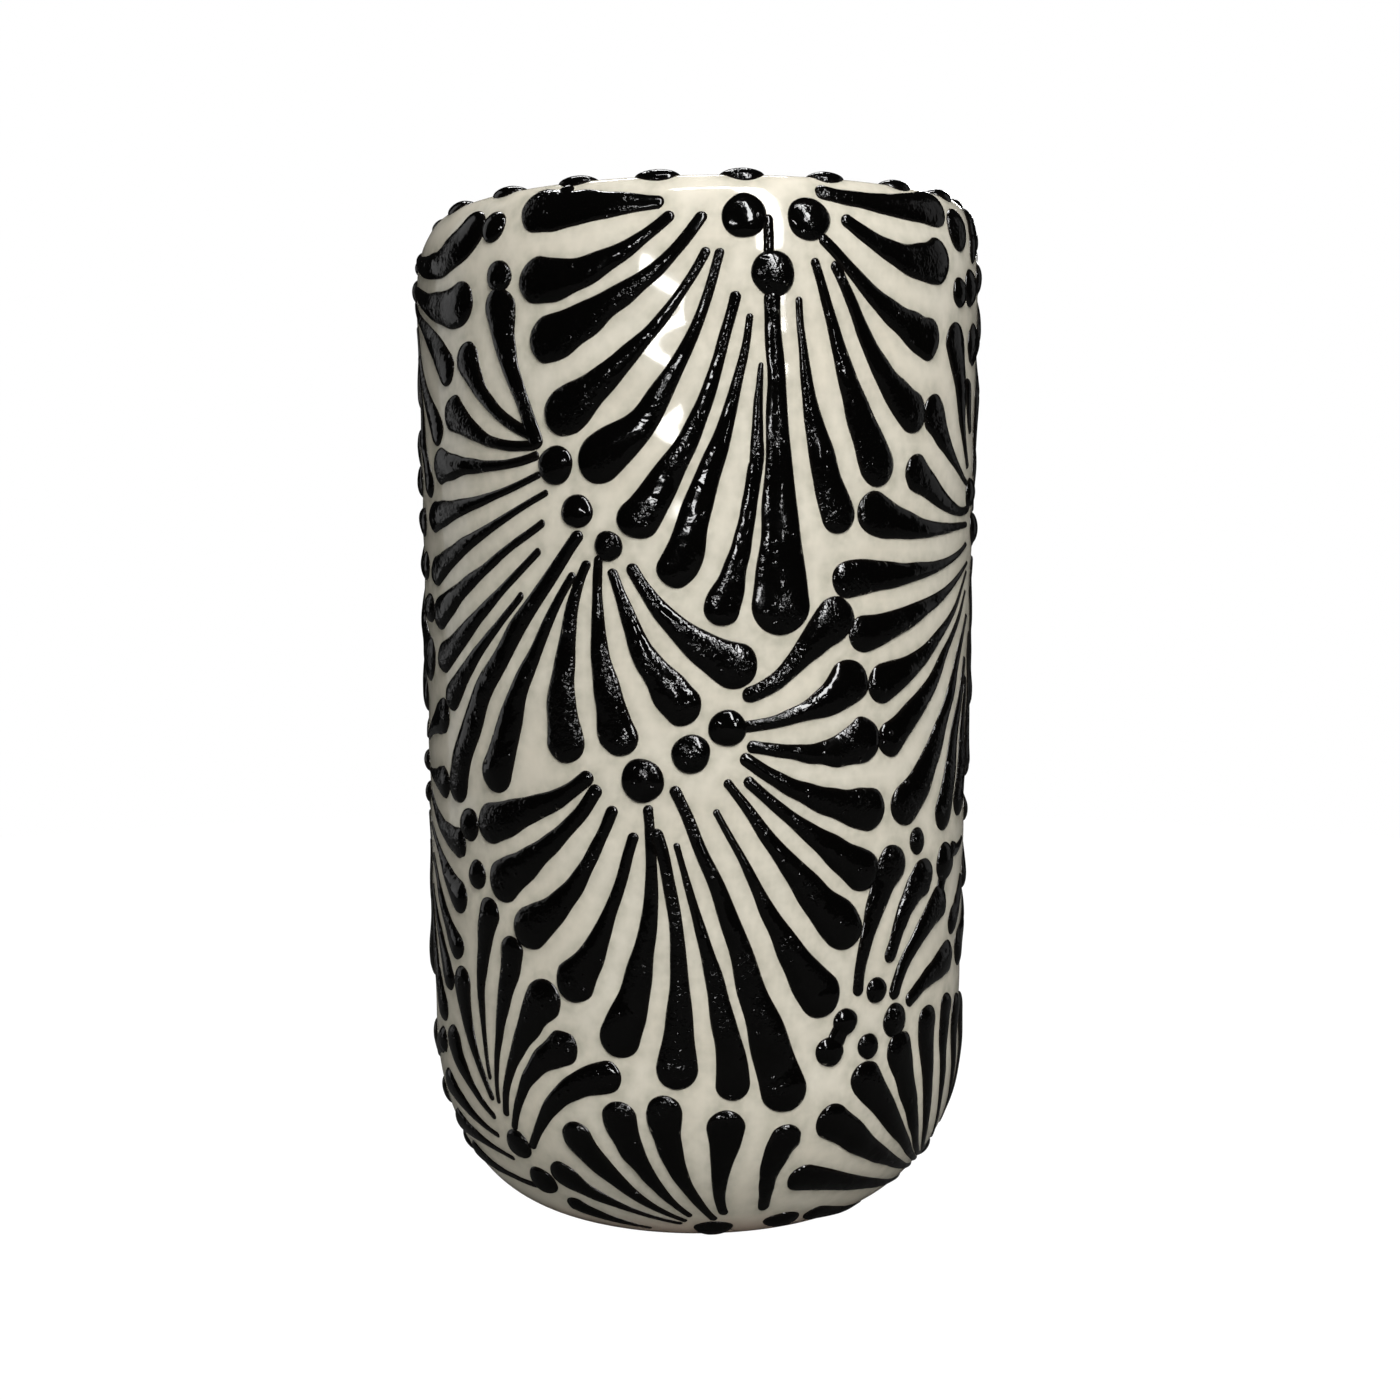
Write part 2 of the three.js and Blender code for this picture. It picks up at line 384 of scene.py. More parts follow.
enamelLook = {
    "black": (0.0012, 0.0011, 0.0010),
    "brown": (0.0048, 0.0038, 0.0031),  # along the thin edges
    "paleEdge": (0.050, 0.043, 0.034),  # where the enamel has almost run out
    "roughness": (0.05, 0.13),
    "wrinkleScale": 900.0,
    "bubbleScale": 620.0,
    "depth": 0.00024,
}


def makeEnamelMaterial():
    # black by thickness, with patches of fine wrinkles and blisters whose rims catch the light
    look = enamelLook
    material, shader = newMaterial("blackEnamel")
    place = objectPlace(material)
    sway = remap(material, noise(material, place, 500.0, 4.0), 0.0, 1.0, -0.08, 0.08)
    level = calculate(material, "ADD", attribute(material, "thickness"), sway)
    stops = ((0.0, look["paleEdge"]), (0.10, look["brown"]), (0.40, look["black"]))
    material.node_tree.links.new(colourRamp(material, level, stops), shader.inputs["Base Color"])
    shader.inputs["IOR"].default_value = 1.5
    rough = remap(material, noise(material, place, 150.0, 2.0), 0.35, 0.7, *look["roughness"])
    material.node_tree.links.new(rough, shader.inputs["Roughness"])
    wrinkle = noise(material, place, look["wrinkleScale"], 2.0, Distortion=0.8)
    patchy = remap(material, noise(material, place, 110.0, 1.0), 0.45, 0.62, 0.05, 1.0)
    wrinkled = calculate(material, "MULTIPLY", wrinkle, patchy)
    swelling = calculate(material, "MULTIPLY", noise(material, place, 260.0, 2.0, Distortion=0.5), 0.9)
    fromMiddle, rare = scatteredCells(material, place, look["bubbleScale"], 0.80)
    dome = remap(material, fromMiddle, 0.10, 0.40, 1.0, 0.0, interpolation_type="SMOOTHSTEP")
    blister = calculate(material, "MULTIPLY", rare, dome)
    ground = calculate(material, "ADD", wrinkled, swelling)
    height = calculate(material, "MULTIPLY_ADD", blister, 0.55, ground)
    bumpFrom(material, shader, height, 1.0, look["depth"])
    return material


clayLook = {
    "clay": (0.46, 0.29, 0.20),
    "paleClay": (0.58, 0.42, 0.31),
    "grit": (0.24, 0.15, 0.11),
}


def makeClayMaterial():
    # two earthy tones in soft clouds, with dark grit
    look = clayLook
    material, shader = newMaterial("bareClay")
    place = objectPlace(material)
    base = mixColour(material, noise(material, place, 90.0, 6.0), look["clay"], look["paleClay"])
    grit = noise(material, place, 1800.0, 2.0)
    base = mixColour(material, remap(material, grit, 0.62, 0.72), base, look["grit"])
    material.node_tree.links.new(base, shader.inputs["Base Color"])
    shader.inputs["Roughness"].default_value = 0.85
    bumpFrom(material, shader, grit, 0.8, 0.0002)
    return material


ivoryGlaze = makeGlazeMaterial()
blackEnamel = makeEnamelMaterial()
bareClay = makeClayMaterial()
print("materials made")

# A stroke is squeezed from tail to head: points of its middle line as (degrees, height),
# then its half widths at the tail, half way and at the head, in mm. The tail's first
# point and the head's last point are the middles of their round ends.
# A dot is (degrees, height, half width, half height).

crownFan = {
    "strokes": [
        (((-7.6, 197.8), (-17, 197.8), (-30.5, 197.9)), (1.3, 3.0, 4.6)),
        (((-5.4, 195), (-10.5, 191.2), (-18, 187.1), (-30.2, 184.7)), (1.1, 2.2, 4.4)),
        (((0.4, 194.8), (-5.5, 187.7), (-12.5, 181.9), (-20, 177.8), (-28, 174.2)), (1.1, 2.0, 4.6)),
        (((1.2, 188.6), (-4.1, 180.4), (-10.8, 172.2), (-17.2, 166.6), (-25, 160.9)), (0.9, 1.55, 4.6)),
        (((3.8, 188.4), (0.5, 178), (-4, 168.5), (-9.9, 159.5), (-18, 152.1)), (0.9, 1.6, 4.6)),
        (((6.5, 180.7), (4.2, 172), (0.7, 161.5), (-3.8, 151.4), (-10.9, 141.4)), (1.05, 1.65, 4.0)),
        (((9.2, 177.1), (7.7, 168), (4.7, 158), (1.4, 147), (-3.6, 132.2)), (0.7, 1.8, 3.8)),
        (((11.2, 168.6), (10.8, 160), (10.5, 151.5)), (0.5, 1.0, 1.4)),
        (((10.4, 150.6), (9.1, 143), (7.1, 133), (4.4, 125.1)), (1.4, 1.75, 3.5)),
        (((13.3, 180.5), (14.1, 165), (15, 148), (15.2, 125.4)), (1.6, 2.5, 5.6)),
        (((18.3, 180.2), (19.3, 170), (21.3, 160), (23.9, 150), (26.6, 142)), (0.7, 1.7, 3.8)),
        (((21.4, 187), (24.2, 178.6), (27.8, 168), (31.8, 158.5), (35.6, 151.2)), (0.9, 1.9, 4.3)),
        (((25.6, 186.5), (30.2, 177.9), (35.4, 169.6), (40, 164.2), (44.6, 161)), (1.1, 1.8, 4.1)),
        (((23.2, 191.2), (27.5, 187), (34.8, 181.4), (41.4, 177.1), (48.6, 175)), (1.1, 1.9, 4.2)),
        (((28.3, 194.8), (34.5, 191.4), (42, 189), (51.5, 189.4)), (1.4, 2.4, 4.5)),
        (((23.8, 200), (32, 198.9), (42, 198.8), (53, 199.3)), (1.5, 2.3, 3.9)),
        (((12.6, 194.4), (12.5, 187.5)), (1.0, 0.9, 1.0)),
        (((-26, 201), (-25.5, 199)), (1.6, 1.5, 1.9)),
    ],
    "dots": [],
}

leftFan = {
    "strokes": [
        (((-31.2, 155.6), (-34.3, 162.4), (-37.6, 170.6), (-39.8, 180.3)), (1.5, 1.9, 4.0)),
        (((-32, 156.7), (-37.7, 159.4), (-43.7, 163.9), (-49, 171.4)), (1.2, 1.4, 3.6)),
        (((-32, 154.9), (-39, 155.2), (-46.5, 157.3), (-54.6, 161.6)), (1.0, 1.3, 3.7)),
        (((-31.5, 152.9), (-38, 151.6), (-48, 151.3), (-60.5, 151.9)), (0.9, 1.3, 3.6)),
        (((-31, 149.3), (-39, 146.6), (-48, 144.3), (-56, 143), (-64.5, 142.1)), (0.7, 1.25, 3.3)),
        (((-29.5, 146), (-38, 141.9), (-47, 138.2), (-56, 134.5), (-64.6, 131.5)), (0.7, 1.3, 3.1)),
        (((-30.3, 140.4), (-38.2, 135.9), (-47, 130.7), (-55.2, 126.7), (-62.8, 122.9)), (0.8, 1.3, 3.4)),
        (((-31.3, 135.1), (-38, 129.7), (-47, 123.1), (-54.7, 117.9), (-61.6, 114.4)), (0.8, 1.4, 3.2)),
        (((-35.5, 126.9), (-41.4, 121.4), (-47.4, 116.1), (-52.9, 111.4), (-57.8, 106.8)), (0.8, 1.3, 3.0)),
        (((-22.8, 137.9), (-29.1, 129.8), (-37.2, 120.3), (-44.4, 110.9), (-51, 101.2), (-56.8, 89.8)),
         (1.3, 2.3, 3.8)),
        (((-24.1, 130.6), (-29, 122.8), (-33.8, 113.6), (-37.9, 105), (-42.9, 93.5)), (0.9, 1.9, 4.3)),
        (((-21.1, 132.7), (-24.1, 124.3), (-25.9, 114.5), (-25.8, 99.9)), (1.0, 2.0, 4.0)),
        (((-18.7, 133.7), (-18.9, 122.5), (-17.8, 112), (-14.9, 101.4)), (0.9, 1.75, 3.8)),
        (((-15.9, 131.2), (-13.2, 124.3), (-9.4, 116.2), (-3.4, 107.2)), (1.0, 2.1, 3.9)),
        (((-12.2, 131.9), (-8.1, 125.9), (-1.6, 119.5), (6.5, 114.3)), (1.2, 2.2, 4.4)),
    ],
    "dots": [(-39.7, 186.4, 3.1, 3.1)],
}

middleFan = {
    "strokes": [
        (((-21.4, 93.2), (-27, 89.7), (-34, 86.5), (-44.7, 83.2)), (1.5, 2.5, 4.1)),
        (((-19.8, 90.9), (-24.5, 84.9), (-30.5, 79.5), (-36.1, 75.8), (-41.4, 72.5)), (1.4, 2.1, 4.3)),
        (((-16.5, 87.3), (-19.3, 80.6), (-24, 73.7), (-28.5, 68.3), (-34.6, 64.2)), (1.2, 1.8, 4.3)),
        (((-12.3, 82.5), (-14.3, 75.6), (-17.7, 66.5), (-20.9, 60), (-24.4, 54.9)), (1.1, 1.5, 4.2)),
        (((-9.5, 87.7), (-8.9, 78), (-9.2, 66), (-12, 55), (-15.1, 45)), (1.0, 1.7, 4.1)),
        (((-7.8, 83.2), (-5.5, 74), (-3.8, 62), (-3.6, 52), (-4.1, 39.3)), (1.2, 1.5, 4.0)),
        (((-4.1, 81.2), (-1.5, 72), (1.6, 61), (4.4, 51), (6.8, 36.5)), (0.6, 1.5, 3.3)),
        (((-4.2, 91.3), (0.3, 81), (4.9, 69.5), (9.4, 57), (13.3, 46), (16.8, 34.9)), (1.1, 2.1, 4.5)),
        (((3.5, 87.4), (8, 78.5), (13.4, 69.5), (18, 60.2), (24.1, 52.3)), (0.7, 1.5, 4.5)),
        (((5.6, 92.7), (10.5, 85.9), (16.4, 78.5), (22.2, 71.2), (29, 64.8)), (0.9, 2.0, 4.6)),
        (((9.5, 92.9), (15, 88.2), (21.2, 83.5), (27.2, 79), (33.3, 75.1)), (1.1, 1.8, 4.2)),
        (((8.9, 97), (14, 93.8), (20, 90.9), (26, 88.4), (34.8, 86.7)), (1.3, 2.1, 4.2)),
        (((10.2, 99.4), (17, 98.3), (25, 98), (33, 99.5)), (1.2, 1.9, 4.4)),
        (((8.8, 103.2), (16, 104.2), (22, 106.2), (29.3, 110.7)), (1.1, 1.8, 4.6)),
        (((9.7, 109.1), (14.2, 111.2), (19, 115.3), (26.4, 122.4)), (1.6, 2.2, 4.4)),
    ],
    "dots": [],
}

rightFan = {
    "strokes": [
        (((69.6, 140), (60, 139.4), (50, 139.3), (42, 140.1), (35.3, 142)), (0.7, 1.6, 4.2)),
        (((71.2, 143.2), (65, 142.6), (57.5, 144.2), (51, 147.2), (46.3, 149.7)), (0.8, 1.7, 3.5)),
        (((68.8, 148.3), (63.5, 150.5), (58, 154.5), (52, 160.8)), (0.7, 1.5, 3.9)),
        (((69, 151.7), (66, 158), (63, 166), (60.4, 174.6)), (0.8, 2.0, 4.3)),
        (((71.5, 158.8), (69, 163.5), (67.6, 167)), (0.9, 1.3, 1.6)),
        (((69.4, 136), (60, 133.1), (50, 131.3), (40, 130.6), (29.4, 130)), (0.6, 1.6, 3.7)),
        (((71.8, 132.4), (64, 129.1), (55, 125.9), (46, 122.8), (39, 120.9), (33, 119.8)), (0.5, 1.5, 3.5)),
        (((71.5, 130.4), (65, 125.2), (58, 120), (50, 115.2), (44, 112.2), (38, 110.1)), (0.5, 1.3, 3.8)),
        (((71, 126.6), (64, 120.1), (57, 113.2), (50, 106.7), (45, 102.6), (40.5, 100)), (0.5, 1.5, 3.6)),
        (((71.8, 121.6), (66.5, 114), (60.7, 105.4), (54.7, 96.2), (45.4, 86.9)), (0.7, 2.1, 4.4)),
        (((72, 113), (68, 105), (64.5, 96.5), (60.1, 83.8)), (0.8, 2.0, 3.9)),
        (((73, 109), (71.4, 98), (70, 85.3)), (0.8, 1.8, 3.6)),
        (((76.5, 118), (78.2, 105), (79.5, 93)), (0.6, 1.3, 2.7)),
        (((82, 143.5), (89, 147.5), (97.5, 150.5)), (0.9, 1.6, 3.3)),
        (((82.5, 140.5), (88, 142.2), (95, 142.4), (104, 140.9)), (0.8, 1.4, 2.9)),
        (((82.5, 136.8), (88, 136), (96, 133.6), (104.6, 132.8)), (0.8, 1.4, 2.9)),
        (((81, 133), (87, 127.8), (96, 120.6), (106.5, 113.5)), (0.8, 1.9, 4.5)),
        (((79.5, 130.5), (84.5, 121.5), (90, 113), (96.5, 105.5)), (0.8, 1.7, 3.6)),
        (((77.5, 127), (80.5, 118.5), (86.5, 104.5)), (0.7, 1.5, 3.1)),
        (((77, 150.5), (78.5, 157), (79.5, 165)), (0.8, 1.4, 2.7)),
        (((80.5, 146), (85, 151), (90.5, 157)), (0.8, 1.6, 3.1)),
    ],
    "dots": [(108.4, 123.8, 3.6, 2.9)],
}

highRightFan = {
    "strokes": [
        (((70.5, 192.6), (73.5, 196), (76.5, 199)), (1.7, 2.5, 2.9)),
        (((80, 176.2), (76, 175.9), (72, 175.6)), (1.8, 2.6, 4.2)),
    ],
    "dots": [],
}

highLeftFan = {
    "strokes": [
        (((-83, 196), (-77, 194), (-70, 191.9), (-62, 190.9), (-55, 192.7), (-49, 195.7)), (1.2, 2.7, 4.3)),
        (((-83, 188.5), (-76, 187), (-68, 184), (-60, 182.6), (-51.5, 182.3)), (1.0, 2.2, 4.3)),
        (((-82, 185.5), (-74, 181.5), (-67, 178), (-61, 173.8), (-57.4, 170.6)), (0.8, 1.7, 3.5)),
        (((-79, 180), (-74, 172.5), (-67, 164), (-62.4, 158.7)), (0.7, 1.5, 3.0)),
        (((-77, 174), (-73.5, 162.5), (-70.8, 154), (-68, 148)), (0.6, 1.2, 2.3)),
        (((-90.5, 194), (-93.5, 196.3), (-97, 197)), (0.9, 1.6, 2.6)),
        (((-92.5, 189.5), (-96.5, 188.6), (-101, 188.4)), (0.9, 1.6, 2.9)),
        (((-91.5, 185), (-94.5, 181.5), (-97.5, 178.5)), (0.8, 1.5, 2.6)),
        (((-87.5, 183), (-89, 175.5), (-90.5, 167)), (0.8, 1.5, 2.8)),
    ],
    "dots": [(-41.9, 196, 3.1, 3.1), (-86.5, 188.5, 2.6, 2.6), (-87.5, 194.6, 2.4, 2.4)],
}

lowLeftFan = {
    "strokes": [
        (((-76, 97.5), (-70, 100.2), (-63.8, 102.8)), (0.8, 2.0, 3.7)),
        (((-76, 90.5), (-70, 89.9), (-64.2, 89.3)), (0.7, 1.7, 3.4)),
        (((-76, 86), (-69, 82.4), (-62.5, 79.3), (-57.1, 77.9)), (0.7, 1.5, 3.2)),
        (((-75.5, 79.5), (-69, 75.3), (-62.7, 70.6), (-57.4, 67.4)), (0.7, 1.4, 3.5)),
        (((-75.5, 73), (-69, 67.2), (-64, 61.6), (-59.3, 57.3)), (0.7, 1.4, 3.0)),
        (((-76, 66.5), (-71.5, 60.3), (-67.3, 54.8), (-63.6, 50.2)), (0.7, 1.4, 2.8)),
        (((-79, 65), (-76.5, 57), (-72.7, 49.6), (-68.6, 43)), (0.7, 1.5, 3.0)),
        (((-85, 97), (-88.5, 98.6), (-93, 98.8)), (0.8, 1.5, 2.6)),
        (((-86.5, 91.8), (-89.5, 91.2), (-93.5, 90.5)), (0.8, 1.5, 2.6)),
        (((-86, 85.5), (-89, 83.2), (-93, 81.2)), (0.8, 1.5, 2.7)),
        (((-85, 80.5), (-89, 73.5), (-95, 68.5)), (0.8, 1.6, 3.2)),
        (((-83, 75), (-86, 66.5), (-91, 58.5)), (0.8, 1.6, 3.2)),
        (((-81, 70), (-82, 60.5), (-85, 49.5)), (0.8, 1.5, 3.1)),
    ],
    "dots": [(-81.5, 92, 2.3, 2.3), (-81.5, 85.5, 2.2, 2.2)],
}

footLeftFan = {
    "strokes": [
        (((-41.4, 24.2), (-38.3, 30.8), (-33.9, 37.1), (-27.9, 41.8)), (0.9, 1.6, 3.5)),
        (((-37.3, 20.9), (-32.6, 27.2), (-26.2, 33.6), (-18.6, 36.9)), (0.9, 1.9, 3.3)),
        (((-43.4, 26.7), (-41.9, 33), (-38.1, 41.2), (-32, 50.5)), (0.9, 1.7, 4.2)),
        (((-45.3, 28.6), (-44.9, 37), (-42.8, 47), (-39.7, 58.7)), (0.6, 1.3, 3.2)),
        (((-47.4, 33.1), (-49, 41), (-49.3, 51), (-46.3, 65.5)), (0.6, 1.25, 3.2)),
        (((-47.5, 29), (-50.9, 34.8), (-54.8, 41.8), (-57.1, 50.1)), (0.8, 1.5, 3.3)),
        (((-48, 25), (-53.5, 28.9), (-58.4, 33.4), (-62.2, 37.6)), (0.8, 1.5, 3.1)),
        (((-48.4, 21), (-55.3, 22.9), (-61.2, 25.2), (-67.5, 27.6)), (0.7, 1.4, 3.0)),
        (((-45.5, 16.5), (-53, 17.5), (-60, 18.5), (-67, 19.9)), (0.6, 1.2, 2.7)),
        (((-42, 11.1), (-50, 11.5), (-57, 12.2), (-64, 13.8)), (0.8, 1.0, 2.3)),
        (((-80, 31), (-75, 33.5), (-69.5, 36)), (0.8, 1.6, 2.8)),
    ],
    "dots": [],
}

footFan = {
    "strokes": [
        (((-4.5, 6.1), (-12, 7.8), (-20, 10.4), (-30.8, 15.4)), (0.5, 1.1, 3.2)),
        (((-3.4, 6.9), (-9.2, 9.6), (-16.2, 14.4), (-21.3, 19.2), (-25.1, 24.5)), (0.6, 1.6, 3.3)),
        (((-2.2, 8.4), (-6.4, 12.2), (-10.8, 18), (-13.8, 23.7), (-15.8, 29.1)), (0.7, 1.7, 3.5)),
        (((3.7, 7.4), (-0.7, 12.6), (-4.2, 19.2), (-6, 25.2), (-6.7, 30.8)), (0.8, 1.7, 3.4)),
        (((5.9, 9.2), (4.6, 14), (4.8, 20), (5.4, 27.8)), (1.0, 1.7, 3.7)),
        (((15.2, 9.9), (14.9, 15), (15.6, 20), (17.4, 24.9)), (1.1, 1.9, 3.2)),
        (((-13.4, 3.9), (-21, 5.4), (-30.8, 8.2)), (0.5, 1.2, 2.4)),
        (((56, 3.2), (44, 4.3), (32, 5.8)), (0.5, 1.5, 2.7)),
    ],
    "dots": [(4.0, 4.6, 3.9, 3.0), (22, 5.7, 3.7, 2.9)],
}

footRightFan = {
    "strokes": [
        (((75, 6.2), (60, 8), (45, 10.6), (33, 13.7), (23, 16)), (0.5, 1.3, 3.3)),
        (((76, 8.2), (66, 9.8), (55, 12.8), (45, 16.8), (36, 21.6), (28, 27.5)), (0.5, 1.3, 3.8)),
        (((71, 10.4), (61, 12.9), (53, 17.3), (46.5, 22.5), (40.4, 28.6), (35.2, 34.6)), (0.5, 1.4, 3.7)),
        (((71, 11.8), (63, 13.4), (56.6, 17.5), (51.4, 24), (47.2, 31), (44.7, 39)), (0.5, 1.4, 3.8)),
        (((74, 12.2), (67, 13.4), (61, 17.4), (57, 24.4), (54.8, 33), (54.6, 43)), (0.5, 1.3, 3.5)),
        (((73.5, 14.6), (66.7, 19), (63.4, 26), (62.4, 34), (64, 44)), (0.4, 1.1, 3.0)),
        (((77, 17), (72, 24), (70, 32), (72.3, 41.9)), (0.4, 1.1, 3.0)),
        (((84, 13.5), (88, 18), (96, 22.5)), (0.7, 1.5, 3.0)),
        (((83, 17), (86, 24), (91.5, 33)), (0.7, 1.6, 3.3)),
        (((80.5, 18.5), (80.5, 28), (82, 40)), (0.7, 1.6, 3.3)),
        (((85.5, 9.5), (92, 10.8), (100, 13)), (0.6, 1.3, 2.6)),
    ],
    "dots": [(78.5, 11, 2.4, 2.4), (84.5, 4.5, 2.2, 2.2)],
}

lowRightFan = {
    "strokes": [
        (((32.9, 52.3), (34.4, 60), (37.2, 68), (41.3, 75.2)), (1.3, 2.0, 4.0)),
        (((41.4, 58.1), (44.7, 64.7), (51.3, 71.7)), (1.7, 2.2, 3.9)),
        (((42.9, 50.6), (46.1, 56.1), (51.8, 61.3), (58.6, 65.8)), (1.6, 2.0, 3.6)),
        (((47.8, 48.4), (54.8, 51.6), (63.7, 53.7)), (1.5, 2.2, 3.6)),
        (((75, 68.5), (71, 64.5), (67, 60.8)), (0.8, 1.7, 2.8)),
        (((84, 60), (79, 57.5), (74.5, 54.5)), (0.9, 2.0, 4.0)),
        (((74, 76.5), (69, 75.3), (65.8, 75.6)), (0.7, 1.1, 1.8)),
        (((29.4, 45.8), (27, 41.8)), (1.9, 1.7, 1.9)),
        (((60.6, 71), (59.2, 67.5)), (1.8, 1.6, 1.8)),
    ],
    "dots": [(49, 79.2, 2.3, 2.8), (61.2, 73.6, 4.0, 3.9), (29.9, 46.4, 2.8, 2.7), (26.5, 41.1, 3.0, 3.0)],
}

fans = {
    "crown_fan": crownFan,
    "left_fan": leftFan,
    "middle_fan": middleFan,
    "right_fan": rightFan,
    "high_right_fan": highRightFan,
    "high_left_fan": highLeftFan,
    "low_left_fan": lowLeftFan,
    "foot_left_fan": footLeftFan,
    "foot_fan": footFan,
    "foot_right_fan": footRightFan,
    "low_right_fan": lowRightFan,
}

layout = {
    "spread": 1.008,
    "slip": 0.3,            # degrees
    "backStray": 0.35,      # how far points of the back stray, degrees and mm
}

trail = {
    "height": 1.25,         # a full head of enamel above the glaze
    "sunk": 0.35,           # how far it reaches into the glaze
    "edgeWander": 0.045,    # share of the half width that an edge strays
    "lineWander": 0.16,     # mm that the middle line strays
    "ringStep": 0.75,       # mm between rings along a stroke
    "across": 13,           # points over the top of a ring
    "seed": 41,
}


def enamelHeight(halfWidth):
    # a thin line stands low and a wide head comes near the full height
    return trail["height"] * (1 - np.exp(-halfWidth / 2.0))


def strokeRings(points, halfWidths, seed):
    # the middle line is a polynomial in its own length through the points; the width grows
    # from tail to head as 1 - (1 - s^p)^1.15, with p from the width half way; both ends are
    # closed by half circles. Gives each ring's middle, sideways direction, half width and height.
    tail, middle, head = halfWidths
    angle = np.radians(points[:, 0])
    length = lengthAtHeight(points[:, 1])
    radius = np.interp(length, outlineLength, outline[:, 0])
    step = np.hypot(np.diff(angle) * (radius[1:] + radius[:-1]) / 2, np.diff(length))
    along = np.concatenate(([0], np.cumsum(step)))
    degree = min(3, len(points) - 1)
    angleFit = np.polyfit(along, angle, degree)
    lengthFit = np.polyfit(along, length, degree)
    span = along[-1]
    share = np.clip((middle - tail) / max(head - tail, 1e-3), 0.02, 0.9)
    inner = 1 - (1 - share) ** (1 / 1.15)
    power = np.clip(math.log(inner) / math.log(0.5), 0.5, 6)
    tailTurn = np.radians(np.linspace(0, 90, 7))[:-1]
    headTurn = np.radians(np.linspace(90, 0, 11))[1:]
    bodyCount = max(6, int(span / trail["ringStep"]))
    body = np.linspace(0, span, bodyCount)
    s = np.concatenate((-tail * np.cos(tailTurn), body, span + head * np.cos(headTurn)))
    full = tail + (head - tail) * (1 - (1 - np.clip(s / span, 0, 1) ** power) ** 1.15)
    cap = np.concatenate((np.sin(tailTurn), np.ones(bodyCount), np.sin(headTurn)))
    bumpy = 1 + 0.10 * smoothNoise(seed + 1, len(s), max(3, int(span / 3)))
    inside = np.clip(s, 0, span)
    slopeAngle = np.polyval(np.polyder(angleFit), inside)
    slopeLength = np.polyval(np.polyder(lengthFit), inside)
    midAngle = np.polyval(angleFit, inside) + slopeAngle * (s - inside)
    midLength = np.polyval(lengthFit, inside) + slopeLength * (s - inside)
    midRadius = np.interp(midLength, outlineLength, outline[:, 0])
    norm = np.hypot(slopeAngle * midRadius, slopeLength)
    wander = smoothNoise(seed, len(s), max(3, int(span / 5)))
    return {
        "angle": midAngle,
        "length": midLength,
        "radius": midRadius,
        "sideAngle": -slopeLength / norm,
        "sideLength": slopeAngle * midRadius / norm,
        "half": full * cap,
        "height": enamelHeight(full) * cap * bumpy,
        "shift": trail["lineWander"] * wander * np.clip(full / 2, 0.4, 1),
    }


def closedRings(ringCount, around):
    # faces of a run of rings with a pole point before the first and after the last
    quads, here, beside = gridQuads(ringCount, around, 1)
    last = (ringCount - 1) * around + 1
    tailFan = np.stack((np.zeros(around, int), 1 + beside, 1 + here), -1)
    headFan = np.stack((np.full(around, ringCount * around + 1), last + here, last + beside), -1)
    return quads, np.vstack((tailFan, headFan))


def strokeMesh(rings, seed):
    # each ring: half an ellipse of enamel over the glaze and a flat foot sunk into it
    half = np.maximum(rings["half"], 0.02)
    turn = np.linspace(0, np.pi, trail["across"])
    leftEdge = 1 + trail["edgeWander"] * smoothNoise(seed + 2, len(half), 14)
    rightEdge = 1 + trail["edgeWander"] * smoothNoise(seed + 3, len(half), 14)
    edge = np.where(np.cos(turn)[None, :] > 0, leftEdge[:, None], rightEdge[:, None])
    across = half[:, None] * edge * np.cos(turn)[None, :]
    up = rings["height"][:, None] * np.sin(turn)[None, :] ** 1.3
    footAcross = half[:, None] * np.array([-0.94, -0.3, 0.3, 0.94])[None, :]
    across = np.hstack((across, footAcross)) + rings["shift"][:, None]
    up = np.hstack((up, np.full_like(footAcross, -trail["sunk"])))
    angle = rings["angle"][:, None] + across * rings["sideAngle"][:, None] / rings["radius"][:, None]
    length = rings["length"][:, None] + across * rings["sideLength"][:, None]
    sunk = np.array([-trail["sunk"] / 2])
    tailPole = onGlaze(rings["angle"][:1], rings["length"][:1], sunk)
    headPole = onGlaze(rings["angle"][-1:], rings["length"][-1:], sunk)
    points = np.vstack((tailPole, onGlaze(angle, length, up).reshape(-1, 3), headPole))
    quads, triangles = closedRings(len(half), across.shape[1])
    thickness = np.concatenate(([0], np.clip(up / trail["height"], 0, 1).ravel(), [0]))
    return points, quads, triangles, thickness


